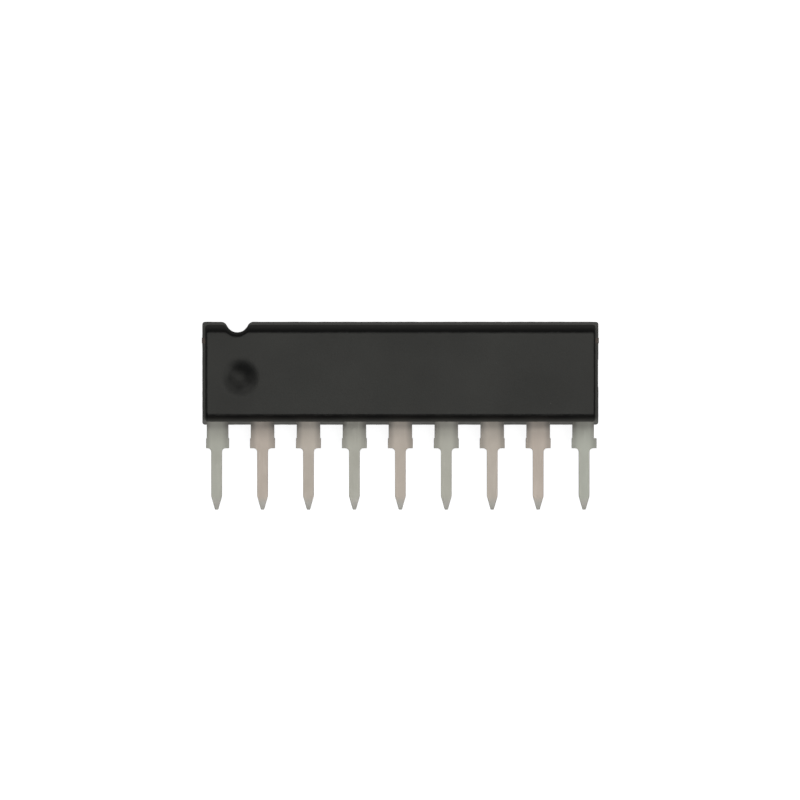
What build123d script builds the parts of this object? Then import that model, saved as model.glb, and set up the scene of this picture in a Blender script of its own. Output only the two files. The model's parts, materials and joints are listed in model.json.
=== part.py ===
from build123d import *
import os
from math import cos, radians, sin, tan

# Nine-lead single in-line package (SIP), a through-hole integrated circuit.
#
# A loose chip can't stand on one row of lead tips, so it lies on its rear face, as it comes to rest.
# +X runs along the body from lead 1 to lead 9, +Y from the lead tips to the notched top edge, and +Z
# out of the front face. The origin is on the surface that the rear face lies on, under the middle of
# the outline. Sizes are in millimetres.
#
# The lead frame (nine leads, and the die pad with its tie bars) is stamped from one sheet. The
# silicon die is stuck to the pad and wired to the leads, and black epoxy is moulded round everything
# in two halves that meet at the sheet's front surface.

# ---- Lead row ------------------------------------------------------------------------------------
LEAD_COUNT = 9
PITCH = 2.54
SHEET = 0.3  # thickness of the stamped sheet

# ---- Moulded body, measured at the parting plane -------------------------------------------------
BODY_LENGTH = 21.9
BODY_HEIGHT = 5.7
BODY_THICKNESS = 2.8
LEDGE = 0.17  # the front half of the mould is smaller all round, so the halves never overhang
END_DRAFT = 3.5  # degrees, on the two short ends
FRONT_EDGE_DRAFT = 17.0  # degrees, on the top and bottom edges in front of the parting plane
REAR_EDGE_DRAFT = 15.0  # less behind it, so that the moulding stays with the ejector pins
CORNER_RADIUS = 0.15
RIM_RADIUS = 0.08  # round the front and rear faces

NOTCH_FROM_END = 1.94  # notch centre to the body's lead 1 end
NOTCH_RADIUS = 0.62
NOTCH_DEPTH = 0.58
NOTCH_DRAFT = 10.0
NOTCH_LIP = 0.36

DIMPLE_FROM_END = 2.12  # the round lead 1 mark on the front face, a shallow dish
DIMPLE_FROM_TOP = 3.05
DIMPLE_RADIUS = 0.81  # where the ball would meet the face if its lip were sharp
DIMPLE_DEPTH = 0.27
DIMPLE_LIP = 1.35

EJECTOR_FROM_END = 2.6  # shallow round marks of the ejector pins, on the rear face
EJECTOR_RADIUS = 0.9
EJECTOR_DEPTH = 0.06

GATE_WIDTH = 1.5  # scar where the resin runner broke off, on the lead 9 end
GATE_HEIGHT = 0.35
GATE_DEPTH = 0.05

# ---- Leads, outside the body ---------------------------------------------------------------------
SHOULDER_WIDTH = 1.3
OUTER_TRIM = 0.11  # taken off the outer side of the first and last shoulder
STANDOFF = 1.3  # body's lower edge to the seating plane, where the shoulders end
DAM_STUB = 0.04  # what is left of the dam bar on each side of a shoulder
LAST_DAM_STUB = 0.15  # and outside the last lead
DAM_STUB_LENGTH = 0.55
PIN_WIDTH = 0.6
PIN_LENGTH = 3.4  # seating plane to the tip
TIP_LENGTH = 0.75
TIP_WIDTH = 0.18
BEVEL_LENGTH = 0.5  # front and rear of the tip, sloped by the trimming die
BEVEL_DEPTH = 0.09
ROOT_RADIUS = 0.2  # between shoulder and pin
TIP_RADIUS = 0.05

# ---- Leads, inside the body ----------------------------------------------------------------------
SHOULDER_ROOT = 0.25  # how far the shoulder's full width goes in
ANCHOR_WIDTH = 1.0
ANCHOR_HEIGHT = 1.2
LOCK_HOLE_RADIUS = 0.22
LOCK_HOLE_FROM_BOTTOM = 0.65
FINGER_WIDTH = 0.45
FINGER_ROOT = 0.2  # how far a finger runs down into its anchor
FINGER_BEND = 0.4  # radius of a finger's turn, at its middle
FINGER_GAP = 0.3  # between a finger's end and the die pad
SLANTING_GAP = 0.35  # the same, for the two slanting fingers beside the middle one
SLANTING_TIP_X = 1.7
SLANTING_KNEE = 0.1  # above the anchor, where they turn
FIRST_ROW = 0.35  # lowest pair of side fingers, above the pad's lower edge
ROW_STEP = 0.7  # between the side fingers

# ---- Die pad, die and wires ----------------------------------------------------------------------
PAD_LENGTH = 4.6
PAD_HEIGHT = 2.5
PAD_FROM_BOTTOM = 2.3
PAD_CORNER = 0.15
PAD_DOWNSET = 0.3
DOWNSET_RUN = 0.5  # length of the slope in each tie bar
DOWNSET_BEND = 0.35
TIE_BAR_WIDTH = 0.3
TIE_BAR_STUB = 0.02  # sheared end that stands out of the body

DIE_LENGTH = 2.2
DIE_HEIGHT = 1.6
DIE_THICKNESS = 0.3
ATTACH_THICKNESS = 0.03
ATTACH_MARGIN = 0.1

BOND_INSET = 0.15  # bond site to the die's edge
BOND_SPACING = 0.45
WIRE_RADIUS = 0.015
BALL_RADIUS = 0.045
BALL_HEIGHT = 0.02
LOOP_HEIGHT = 0.24  # top of the loop above the die
LOOP_RADIUS = 0.09
LANDING_RUN = 0.3  # last, flatter stretch of wire before the finger
LANDING_HEIGHT = 0.06
STITCH_TAIL = 0.07  # from its widest point back along the wire
STITCH_NOSE = 0.05
STITCH_WIDTH = 0.09
STITCH_NOSE_WIDTH = 0.06
STITCH_HEIGHT = 0.012
STITCH_FROM_TIP = 0.2

# ---- Places worked out from them -----------------------------------------------------------------
OVERALL_HEIGHT = BODY_HEIGHT + STANDOFF + PIN_LENGTH
TOP_Y = OVERALL_HEIGHT / 2
BOTTOM_Y = TOP_Y - BODY_HEIGHT
SEATING_Y = BOTTOM_Y - STANDOFF
TIP_Y = -OVERALL_HEIGHT / 2
BODY_Y = (TOP_Y + BOTTOM_Y) / 2
LEAD_1_END_X = -BODY_LENGTH / 2
LEAD_9_END_X = BODY_LENGTH / 2

SHEET_REAR_Z = (BODY_THICKNESS - SHEET) / 2
PARTING_Z = SHEET_REAR_Z + SHEET
FRONT_DEPTH = BODY_THICKNESS - PARTING_Z
REAR_DEPTH = PARTING_Z

PAD_BOTTOM_Y = BOTTOM_Y + PAD_FROM_BOTTOM
PAD_Y = PAD_BOTTOM_Y + PAD_HEIGHT / 2
PAD_REAR_Z = SHEET_REAR_Z - PAD_DOWNSET
PAD_FRONT_Z = PAD_REAR_Z + SHEET
TIE_BAR_Y = PAD_BOTTOM_Y + PAD_HEIGHT - TIE_BAR_WIDTH / 2
DIE_FRONT_Z = PAD_FRONT_Z + ATTACH_THICKNESS + DIE_THICKNESS


def lead_x(number):
    """Centre line of a lead, counted from 1 at the notched end."""
    return (number - (LEAD_COUNT + 1) / 2) * PITCH


# ---- Leads ---------------------------------------------------------------------------------------
def side_of(number):
    """-1 for the leads before the middle one, 0 for the middle one, 1 for those after it."""
    middle = (LEAD_COUNT + 1) // 2
    return (number > middle) - (number < middle)


def steps_from_middle(number):
    return abs(number - (LEAD_COUNT + 1) // 2)


def finger_route(number):
    """Centre line of the inner finger: straight, slanting, or square round to the pad's side."""
    x, side, steps = lead_x(number), side_of(number), steps_from_middle(number)
    start = (x, BOTTOM_Y + ANCHOR_HEIGHT - FINGER_ROOT)
    if steps == 0:
        return [start, (x, PAD_BOTTOM_Y - FINGER_GAP)]
    if steps == 1:
        knee = (x, BOTTOM_Y + ANCHOR_HEIGHT + SLANTING_KNEE)
        return [start, knee, (side * SLANTING_TIP_X, PAD_BOTTOM_Y - SLANTING_GAP)]
    row_y = PAD_BOTTOM_Y + FIRST_ROW + (steps - 2) * ROW_STEP
    return [start, (x, row_y), (side * (PAD_LENGTH / 2 + FINGER_GAP), row_y)]


def finger(number):
    route = finger_route(number)
    line = FilletPolyline(*route, radius=FINGER_BEND) if len(route) > 2 else Line(*route)
    return trace(line, line_width=FINGER_WIDTH)


def anchor(x):
    """Foot of the finger, with the hole that the resin locks into."""
    plate = Pos(x, BOTTOM_Y) * Rectangle(
        ANCHOR_WIDTH, ANCHOR_HEIGHT, align=(Align.CENTER, Align.MIN)
    )
    return plate - Pos(x, BOTTOM_Y + LOCK_HOLE_FROM_BOTTOM) * Circle(LOCK_HOLE_RADIUS)


def pin(x):
    """Narrow length that goes through the board, cut to a blunt point."""
    half, tip_half = PIN_WIDTH / 2, TIP_WIDTH / 2
    root_y, taper_y = SEATING_Y + ROOT_RADIUS, TIP_Y + TIP_LENGTH
    outline = Polygon(
        (x - half, root_y),
        (x - half, taper_y),
        (x - tip_half, TIP_Y),
        (x + tip_half, TIP_Y),
        (x + half, taper_y),
        (x + half, root_y),
        align=None,
    )
    tip_corners = outline.vertices().group_by(Axis.Y)[0]
    return fillet(tip_corners, TIP_RADIUS)


def tip_bevels(x):
    """Wedges that the trimming die takes off the front and the rear of a tip."""
    middle_z = SHEET_REAR_Z + SHEET / 2
    wedge = Plane.YZ * Polygon(
        (TIP_Y, SHEET_REAR_Z),
        (TIP_Y + BEVEL_LENGTH, SHEET_REAR_Z),
        (TIP_Y, SHEET_REAR_Z + BEVEL_DEPTH),
        align=None,
    )
    rear = Pos(x, 0, 0) * extrude(wedge, PIN_WIDTH, both=True)
    return rear + mirror(rear, Plane.XY.offset(middle_z))


def shoulder(number):
    """Wide stop above the seating plane, with the sheared ends of the dam bar at its foot."""
    x = lead_x(number)
    left = right = SHOULDER_WIDTH / 2
    right_stub = DAM_STUB
    if number == 1:
        left -= OUTER_TRIM
    if number == LEAD_COUNT:
        right -= OUTER_TRIM
        right_stub = LAST_DAM_STUB
    stop = Pos(x - left, SEATING_Y) * Rectangle(left + right, STANDOFF + SHOULDER_ROOT, align=Align.MIN)
    dam = Pos(x - left - DAM_STUB, SEATING_Y) * Rectangle(
        left + right + DAM_STUB + right_stub, DAM_STUB_LENGTH, align=Align.MIN
    )
    return stop + dam


def lead(number):
    x = lead_x(number)
    outer = shoulder(number) + pin(x)
    reach = PIN_WIDTH / 2 + ROOT_RADIUS
    root_corners = (
        outer.vertices()
        .filter_by_position(Axis.X, x - reach, x + reach)
        .filter_by_position(Axis.Y, SEATING_Y - ROOT_RADIUS, SEATING_Y + ROOT_RADIUS)
    )
    outline = fillet(root_corners, ROOT_RADIUS) + anchor(x) + finger(number)
    return extrude(Pos(0, 0, SHEET_REAR_Z) * outline, SHEET) - tip_bevels(x)


# ---- Die pad and die -----------------------------------------------------------------------------
def tie_bar(side):
    """Flat bar from the pad to the body's end, cranked up to the level of the leads."""
    low_z, high_z = PAD_REAR_Z + SHEET / 2, SHEET_REAR_Z + SHEET / 2
    slope_x = PAD_LENGTH / 2 + DOWNSET_BEND
    centre_line = FilletPolyline(
        (side * PAD_LENGTH / 4, low_z),
        (side * slope_x, low_z),
        (side * (slope_x + DOWNSET_RUN), high_z),
        (side * (BODY_LENGTH / 2 + TIE_BAR_STUB), high_z),
        radius=DOWNSET_BEND,
    )
    strip = Plane.XZ * trace(centre_line, line_width=SHEET)
    return Pos(0, TIE_BAR_Y, 0) * extrude(strip, TIE_BAR_WIDTH / 2, both=True)


def die_pad():
    plate = Pos(0, PAD_Y, PAD_REAR_Z) * extrude(
        RectangleRounded(PAD_LENGTH, PAD_HEIGHT, PAD_CORNER), SHEET
    )
    return plate + tie_bar(-1) + tie_bar(1)


def die_attach():
    """Film of silver-filled adhesive, squeezed out a little all round the die."""
    film = Rectangle(DIE_LENGTH + 2 * ATTACH_MARGIN, DIE_HEIGHT + 2 * ATTACH_MARGIN)
    return Pos(0, PAD_Y, PAD_FRONT_Z) * extrude(film, ATTACH_THICKNESS)


def silicon_die():
    return Pos(0, PAD_Y, PAD_FRONT_Z + ATTACH_THICKNESS) * Box(
        DIE_LENGTH, DIE_HEIGHT, DIE_THICKNESS, align=(Align.CENTER, Align.CENTER, Align.MIN)
    )


# ---- Bond wires ----------------------------------------------------------------------------------
def bond_site(number):
    """Where a wire is balled on the die: three sites on each side and three along the lower edge."""
    side, steps = side_of(number), steps_from_middle(number)
    if steps <= 1:
        return Vector(side * BOND_SPACING, PAD_Y - DIE_HEIGHT / 2 + BOND_INSET, DIE_FRONT_Z)
    y = PAD_Y + (steps - 3) * BOND_SPACING
    return Vector(side * (DIE_LENGTH / 2 - BOND_INSET), y, DIE_FRONT_Z)


def stitch_site(number):
    """Where a wire is stitched down, just behind the finger's end."""
    *_, before, end = finger_route(number)
    end_point = Vector(*end, PARTING_Z)
    back = (Vector(*before, PARTING_Z) - end_point).normalized()
    return end_point + back * STITCH_FROM_TIP


def stitch(end, along):
    """Flattened tail that the bonding tool presses on to the finger, widening to a fish tail."""
    tail = Polygon(
        (-STITCH_TAIL, -WIRE_RADIUS),
        (0, -STITCH_WIDTH / 2),
        (STITCH_NOSE, -STITCH_NOSE_WIDTH / 2),
        (STITCH_NOSE, STITCH_NOSE_WIDTH / 2),
        (0, STITCH_WIDTH / 2),
        (-STITCH_TAIL, WIRE_RADIUS),
        align=None,
    )
    return extrude(Plane(end, x_dir=along) * tail, STITCH_HEIGHT)


def bond_wire(number):
    """Ball on the die, a wire that rises, turns over and runs down to the finger, and the stitch."""
    start, end = bond_site(number), stitch_site(number)
    along = Vector(end.X - start.X, end.Y - start.Y, 0).normalized()
    up = Vector(0, 0, 1)
    turn = [
        start
        + along * LOOP_RADIUS * (1 - cos(radians(angle)))
        + up * (LOOP_HEIGHT - LOOP_RADIUS + LOOP_RADIUS * sin(radians(angle)))
        for angle in (0, 30, 60, 90)
    ]
    landing = end - along * LANDING_RUN + up * LANDING_HEIGHT
    path = Polyline(start, *turn, landing, end + up * WIRE_RADIUS)
    section = Plane(start, x_dir=along, z_dir=up) * RegularPolygon(WIRE_RADIUS, 6)
    ball = Pos(*start) * extrude(RegularPolygon(BALL_RADIUS, 12), BALL_HEIGHT)
    return sweep(section, path=path, transition=Transition.RIGHT) + ball + stitch(end, along)


# ---- Moulded body --------------------------------------------------------------------------------
def uprights(half, depth):
    """Edges that run from the parting plane to the face."""
    return half.edges().filter_by(lambda edge: edge.bounding_box().size.Z > depth / 2)


def moulded_half(depth, edge_draft, ledge=0.0):
    """One half of the moulding, standing on the parting plane: drafted, notched and rounded."""
    blank = Pos(0, BODY_Y, 0) * Box(
        BODY_LENGTH - 2 * ledge,
        BODY_HEIGHT - 2 * ledge,
        depth,
        align=(Align.CENTER, Align.CENTER, Align.MIN),
    )
    tapered = draft(blank.faces().filter_by(Axis.X), Plane.XY, END_DRAFT)
    tapered = draft(tapered.faces().filter_by(Axis.Y), Plane.XY, edge_draft)
    half = fillet(uprights(tapered, depth), CORNER_RADIUS)

    notch_x = LEAD_1_END_X + NOTCH_FROM_END
    notch_y = TOP_Y + NOTCH_RADIUS - NOTCH_DEPTH
    half -= Pos(notch_x, notch_y, 0) * Cone(
        NOTCH_RADIUS + ledge,
        NOTCH_RADIUS + ledge + depth * tan(radians(NOTCH_DRAFT)),
        depth,
        align=(Align.CENTER, Align.CENTER, Align.MIN),
    )
    reach = 2 * NOTCH_RADIUS
    lips = uprights(half, depth).filter_by_position(Axis.X, notch_x - reach, notch_x + reach)
    half = fillet(lips, NOTCH_LIP)
    rim = half.faces().sort_by(Axis.Z)[-1].outer_wire().edges()
    return fillet(rim, RIM_RADIUS)


def dimpled(body):
    """The lead 1 mark, sunk in the front face as the cap of a ball that eases out into the face."""
    ball_radius = (DIMPLE_RADIUS**2 + DIMPLE_DEPTH**2) / (2 * DIMPLE_DEPTH)
    x, y = LEAD_1_END_X + DIMPLE_FROM_END, TOP_Y - DIMPLE_FROM_TOP
    ball = Pos(x, y, BODY_THICKNESS + ball_radius - DIMPLE_DEPTH) * Sphere(ball_radius)
    marked = body - ball
    return fillet(new_edges(body, ball, combined=marked), DIMPLE_LIP)


def ejector_mark(x):
    return Pos(x, BODY_Y, 0) * Cylinder(EJECTOR_RADIUS, 2 * EJECTOR_DEPTH)


def gate_scar():
    """Shallow break in the rear half's end, just behind the parting plane."""
    return Pos(LEAD_9_END_X, BODY_Y, PARTING_Z - GATE_HEIGHT / 2) * Box(
        2 * GATE_DEPTH, GATE_WIDTH, GATE_HEIGHT
    )


def epoxy_body(embedded):
    front = Pos(0, 0, PARTING_Z) * moulded_half(FRONT_DEPTH, FRONT_EDGE_DRAFT, LEDGE)
    rear = mirror(moulded_half(REAR_DEPTH, REAR_EDGE_DRAFT), Plane.XY)
    body = dimpled(front + Pos(0, 0, PARTING_Z) * rear)
    for x in (LEAD_1_END_X + EJECTOR_FROM_END, LEAD_9_END_X - EJECTOR_FROM_END):
        body -= ejector_mark(x)
    body -= gate_scar()
    for piece in embedded:
        body -= piece
    return body


# ---- Assembly ------------------------------------------------------------------------------------
def build():
    """Every piece by name, in place."""
    numbers = range(1, LEAD_COUNT + 1)
    inside = {f"lead_{n}": lead(n) for n in numbers}
    inside["die_pad"] = die_pad()
    inside["die_attach"] = die_attach()
    inside["silicon_die"] = silicon_die()
    inside |= {f"bond_wire_{n}": bond_wire(n) for n in numbers}
    return {"epoxy_body": epoxy_body(inside.values())} | inside


os.makedirs("parts", exist_ok=True)
for name, piece in build().items():
    export_step(piece, f"parts/{name}.step")
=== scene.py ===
import json
import random
from contextlib import contextmanager
from math import atan2, copysign, cos, degrees, pi, radians, sin, sqrt, tan

import bmesh
import bpy
from mathutils import Matrix, Vector, noise


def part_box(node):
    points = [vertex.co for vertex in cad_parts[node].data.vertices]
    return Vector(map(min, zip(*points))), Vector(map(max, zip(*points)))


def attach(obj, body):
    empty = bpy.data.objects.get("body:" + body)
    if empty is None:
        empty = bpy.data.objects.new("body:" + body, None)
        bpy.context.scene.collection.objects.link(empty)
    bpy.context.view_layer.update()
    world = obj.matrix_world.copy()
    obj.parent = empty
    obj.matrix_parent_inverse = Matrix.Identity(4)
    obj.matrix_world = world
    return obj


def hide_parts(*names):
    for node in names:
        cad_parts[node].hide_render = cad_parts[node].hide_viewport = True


# Looks of a nine-lead single in-line package: a black epoxy moulding on a tin-plated lead frame.
#
# The chip lies on its rear face. +X runs from lead 1 to lead 9, +Y from the lead tips to the
# notched top edge, and +Z out of the front face. Pieces are shaped in millimetres and brought to
# metres when they are finished. Materials work in metres, on Object coordinates.

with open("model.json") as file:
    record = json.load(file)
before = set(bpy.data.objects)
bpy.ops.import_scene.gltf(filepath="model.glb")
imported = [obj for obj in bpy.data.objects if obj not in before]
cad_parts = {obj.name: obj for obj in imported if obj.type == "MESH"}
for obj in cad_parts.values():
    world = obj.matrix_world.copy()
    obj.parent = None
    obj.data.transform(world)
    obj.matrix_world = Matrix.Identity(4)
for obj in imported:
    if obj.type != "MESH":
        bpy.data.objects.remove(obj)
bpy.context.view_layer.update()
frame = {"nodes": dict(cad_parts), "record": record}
MM = 0.001


# ---- Sizes read from the frame ----
def corners(node):
    """Lowest and highest corner of a CAD node, in millimetres."""
    low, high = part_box(node)
    return low / MM, high / MM


def mount(name):
    return next(m for m in frame["record"]["mounts"] if m["name"] == name)


LEAD_ROW = mount("lead_row")["dims"]
LEAD_COUNT = LEAD_ROW["count"]
PITCH = LEAD_ROW["spacing_x_mm"]
SEATING_Y = mount("seating_plane")["pos_m"][1] / MM
MIDDLE_LEAD = (LEAD_COUNT + 1) // 2

BODY_LOW, BODY_HIGH = corners("epoxy_body")
MIDDLE_LEAD_LOW, MIDDLE_LEAD_HIGH = corners(f"lead_{MIDDLE_LEAD}")
DIE_LOW, DIE_HIGH = corners("silicon_die")
PAD_BOTTOM_Y = corners("die_pad")[0].y

BODY_MIDDLE = (BODY_LOW + BODY_HIGH) / 2
HALF_LENGTH = (BODY_HIGH.x - BODY_LOW.x) / 2
HALF_HEIGHT = (BODY_HIGH.y - BODY_LOW.y) / 2
SHEET_REAR_Z = MIDDLE_LEAD_LOW.z
PARTING_Z = MIDDLE_LEAD_HIGH.z
SHEET = PARTING_Z - SHEET_REAR_Z
FRONT_DEPTH = BODY_HIGH.z - PARTING_Z
REAR_DEPTH = PARTING_Z - BODY_LOW.z

# ---- Moulding, in millimetres and degrees ----
LEDGE = 0.17  # the front half is smaller all round
LEDGE_DROP = 0.002  # the resin shrinks a hair below the front of the leads
END_DRAFT = 3.5
FRONT_EDGE_DRAFT = 17.0
REAR_EDGE_DRAFT = 15.0
WALL_RINGS = (0.3, 0.65)  # shares of a half's depth
CORNER_RADIUS = 0.15
SMALLEST_CORNER = 0.02
CORNER_STEPS = 6
LOWER_SIDE_STEPS = 150
UPPER_SIDE_STEPS = 110
END_STEPS = 40
RIM_RADIUS = 0.09
RIM_STEPS = 5
RIM_MARGIN = 0.03  # flat ring round each face, where the worn edge fades out
RIM_WEAR = 0.7

NOTCH_FROM_END = 1.94
NOTCH_RADIUS = 0.62
NOTCH_DEPTH = 0.58
NOTCH_DRAFT = 8.0
NOTCH_STEPS = 22
NOTCH_SIDE_STEPS = 8  # to the near corner
NOTCH_LIP = 0.36
NOTCH_LIP_STEPS = 7
NOTCH_LEDGE = 0.03  # the step between the halves nearly closes up inside the notch

FLASH_REACH = 0.01  # fin of resin that squeezes out between the two mould halves
FLASH_HEIGHT = 0.016
FLASH_EDGE = 0.003  # its thickness at the outer edge
FLASH_TEARS = 3.1  # along a millimetre

DIMPLE_FROM_END = 2.12
DIMPLE_FROM_TOP = 3.05
DIMPLE_RADIUS = 0.81
DIMPLE_DEPTH = 0.27
DIMPLE_LIP = 1.35
DIMPLE_MARGIN = 0.1
DIMPLE_LIP_STEPS = 12
DIMPLE_RINGS = (0.92, 0.82, 0.7, 0.57, 0.44, 0.32, 0.21, 0.11, 0.03)  # shares of its radius

EJECTOR_FROM_END = 2.6
EJECTOR_RADIUS = 0.9
EJECTOR_DEPTH = 0.06
EJECTOR_LIP = 0.015
EJECTOR_MARGIN = 0.12

GATE_WIDTH = 1.5
GATE_HEIGHT = 0.35
GATE_DEPTH = 0.05
GATE_SEED = 11

# ---- Leads, in millimetres ----
SHOULDER_WIDTH = 1.3
OUTER_TRIM = 0.11
SHOULDER_ROOT = 0.25
DAM_STUB = 0.04
LAST_DAM_STUB = 0.15
DAM_STUB_LENGTH = 0.55
PIN_WIDTH = 0.6
TIP_LENGTH = 0.75
TIP_WIDTH = 0.18
TAPER_RADIUS = 0.1
BEVEL_LENGTH = 0.5
BEVEL_DEPTH = 0.09
ROOT_RADIUS = 0.2
TIP_RADIUS = 0.05
ANCHOR_WIDTH = 1.0
ANCHOR_HEIGHT = 1.2
LOCK_HOLE_RADIUS = 0.22
LOCK_HOLE_FROM_BOTTOM = 0.65
LOCK_HOLE_STEPS = 28
FINGER_WIDTH = 0.45
FINGER_BEND = 0.4
FINGER_GAP = 0.3
SLANTING_GAP = 0.35
SLANTING_TIP_X = 1.7
SLANTING_KNEE = 0.1
FIRST_ROW = 0.35
ROW_STEP = 0.7
ROLLED_EDGE = 0.018  # rounding that stamping and plating leave on every edge
LEAD_WARMTH = (0.1, 1.0, 0.8, 0.2, 0.9, 0.2, 0.8, 1.0, 0.0)  # how far the plating has reddened
BARE_COPPER = 0.8  # how far the plating is missing where a lead was sheared
SIDE_TILT = 0.15  # Z of a normal, at most, on a sheared side
SHEET_TILT = 0.97  # and at least, on the flat of the sheet
CURVE_STEPS = 7

# ---- Die pad and wires, in millimetres ----
PAD_LENGTH = 4.6
BOND_INSET = 0.15
BOND_SPACING = 0.45
WIRE_RADIUS = 0.0135
WIRE_SIDES = 12
WIRE_BEND_STEPS = 8
BALL_RADIUS = 0.045
BALL_HEIGHT = 0.02
LOOP_HEIGHT = 0.24
LOOP_RADIUS = 0.09
LANDING_RUN = 0.3
LANDING_HEIGHT = 0.06
LANDING_RADIUS = 0.25
STITCH_RUN = 0.12
STITCH_SPREAD = 2.6
STITCH_HEIGHT = 0.012
STITCH_SHARE = 0.3  # pressed further than this, the wire lies flat
STITCH_FROM_TIP = 0.2

# ---- Reach of painted light and shade, and of plating and tarnish, in millimetres ----
FLOOR_LIGHT_REACH = 1.2  # from the parting line
LEDGE_LIGHT_START = 0.45  # inside the lower side
LEDGE_LIGHT_FULL = 0.15
BODY_SHADOW_REACH = 1.2  # below the moulding
CONTACT_SHADOW_REACH = 0.4
EDGE_SHADE_START = 0.26  # from a lead's centre line
EDGE_SHADE_FULL = 0.6
TIP_HIGHLIGHT_FULL = 0.3
PLATING_EDGE = 0.25
TARNISH_REACH = 0.2
CIRCUIT_DEPTH = 0.01
CIRCUIT_CLEAR = 0.002

# ---- Studio, in metres and degrees ----
CAMERA_HEIGHT = 0.4
CAMERA_X = -0.00002
CAMERA_LEAN = 1.5  # towards the notched edge
CAMERA_SENSOR = 36.0  # in millimetres
VIEW_WIDTH = 0.0442
VIEW_CENTRE_Y = 0.00087
FLOOR_SIZE = 4.0


def lead_x(number):
    """Centre line of a lead, counted from 1 at the notched end."""
    return (number - (LEAD_COUNT + 1) / 2) * PITCH


def side_and_steps(number):
    """Which side of the middle lead a lead is on, -1, 0 or 1, and how many leads away."""
    side = (number > MIDDLE_LEAD) - (number < MIDDLE_LEAD)
    return side, abs(number - MIDDLE_LEAD)


# ---- Node trees ----
def feed(socket, value):
    """Links a socket to another or to a node's first output, or sets it. Colours need no alpha."""
    if isinstance(value, bpy.types.Node):
        value = value.outputs[0]
    if isinstance(value, bpy.types.NodeSocket):
        socket.id_data.links.new(value, socket)
    elif socket.type == "RGBA":
        socket.default_value = (*value, 1.0)
    else:
        socket.default_value = value


def feed_named(node, **values):
    """Feeds inputs of a node by name. An underscore stands for a space."""
    for title, value in values.items():
        feed(node.inputs[title.replace("_", " ")], value)


def add_node(tree, kind, inputs=None, family="ShaderNode", **settings):
    """A node with its settings and inputs, given by name or place. A list feeds one input in turn."""
    node = tree.nodes.new(family + kind)
    for name, value in settings.items():
        setattr(node, name, value)
    for name, value in (inputs or {}).items():
        for source in value if isinstance(value, list) else [value]:
            feed(node.inputs[name], source)
    return node


def new_tree(name, kind, inputs, outputs):
    """A node group and its two end nodes' sockets. An input is a number, or a type and a value."""
    tree = bpy.data.node_groups.new(name, kind)
    for title, value in inputs.items():
        socket_type, default = value if isinstance(value, tuple) else ("Float", value)
        socket_type = f"NodeSocket{socket_type}"
        item = tree.interface.new_socket(title, in_out="INPUT", socket_type=socket_type)
        if default is not None:
            item.default_value = default
    for title, socket_type in outputs.items():
        tree.interface.new_socket(title, in_out="OUTPUT", socket_type=f"NodeSocket{socket_type}")
    return tree, tree.nodes.new("NodeGroupInput").outputs, tree.nodes.new("NodeGroupOutput").inputs


def calc(tree, operation, first, second=0.0, clamp=False):
    """Result of one step of arithmetic."""
    values = {0: first, 1: second}
    return add_node(tree, "Math", values, operation=operation, use_clamp=clamp)


def fade(tree, value, start, end):
    """0 below start and 1 above end, with a soft change between them."""
    values = {"Value": value, "From Min": start, "From Max": end}
    return add_node(tree, "MapRange", values, interpolation_type="SMOOTHSTEP")


def mix_colour(tree, share, first, second):
    """Mix of two colours, which a Mix node has at its sockets 6 and 7 and gives at its output 2."""
    values = {0: share, 6: first, 7: second}
    return add_node(tree, "Mix", values, data_type="RGBA").outputs[2]


def mix_value(tree, share, first, second):
    """Mix of two values, which a Mix node has at its sockets 2 and 3."""
    return add_node(tree, "Mix", {0: share, 2: first, 3: second}, data_type="FLOAT")


def axes(tree, vector):
    """The X, Y and Z sockets of a vector."""
    return add_node(tree, "SeparateXYZ", {"Vector": vector}).outputs


def texture(tree, kind, place, size, *rough, **settings):
    """A texture with features of a given size, and for noise its detail and roughness."""
    values = {"Vector": place, "Scale": calc(tree, "DIVIDE", 1.0, size)}
    values.update(zip(("Detail", "Roughness"), rough))
    return add_node(tree, f"Tex{kind}", values, **settings)


# ---- Shared surface effects ----
def effect_group(name, inputs, outputs):
    """A shader node group that works at a place."""
    return new_tree(name, "ShaderNodeTree", {"Vector": ("Vector", None), **inputs}, outputs)


def spark_grain_group():
    """Fine pitted grain, as a spark-eroded mould or a matte plating bath leaves it."""
    inputs = {"Grain Size": 5e-5, "Pit Size": 1e-4, "Pit Share": 0.4}
    tree, given, result = effect_group("spark_grain", inputs, {"Height": "Float"})
    grain = texture(tree, "Noise", given["Vector"], given["Grain Size"], 3.0, 0.6)
    cells = texture(tree, "Voronoi", given["Vector"], given["Pit Size"], feature="SMOOTH_F1")
    pits = fade(tree, cells, 0.1, 0.55)
    feed(result["Height"], mix_value(tree, given["Pit Share"], grain, pits))
    return tree


def patchy_tone_group():
    """Slow changes of tone between two colours."""
    inputs = {
        "Patch Size": 0.002,
        "Contrast": 0.5,
        "Darker": ("Color", (0.01, 0.01, 0.01, 1.0)),
        "Lighter": ("Color", (0.02, 0.02, 0.02, 1.0)),
    }
    outputs = {"Color": "Color", "Mask": "Float"}
    tree, given, result = effect_group("patchy_tone", inputs, outputs)
    patches = texture(tree, "Noise", given["Vector"], given["Patch Size"], 4.0, 0.55)
    centred = calc(tree, "SUBTRACT", patches, 0.5)
    spread = calc(tree, "MULTIPLY", given["Contrast"], 4.0)
    mask = calc(tree, "MULTIPLY", centred, spread)
    mask = calc(tree, "ADD", mask, 0.5, clamp=True)
    feed(result["Color"], mix_colour(tree, mask, given["Darker"], given["Lighter"]))
    feed(result["Mask"], mask)
    return tree


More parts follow.
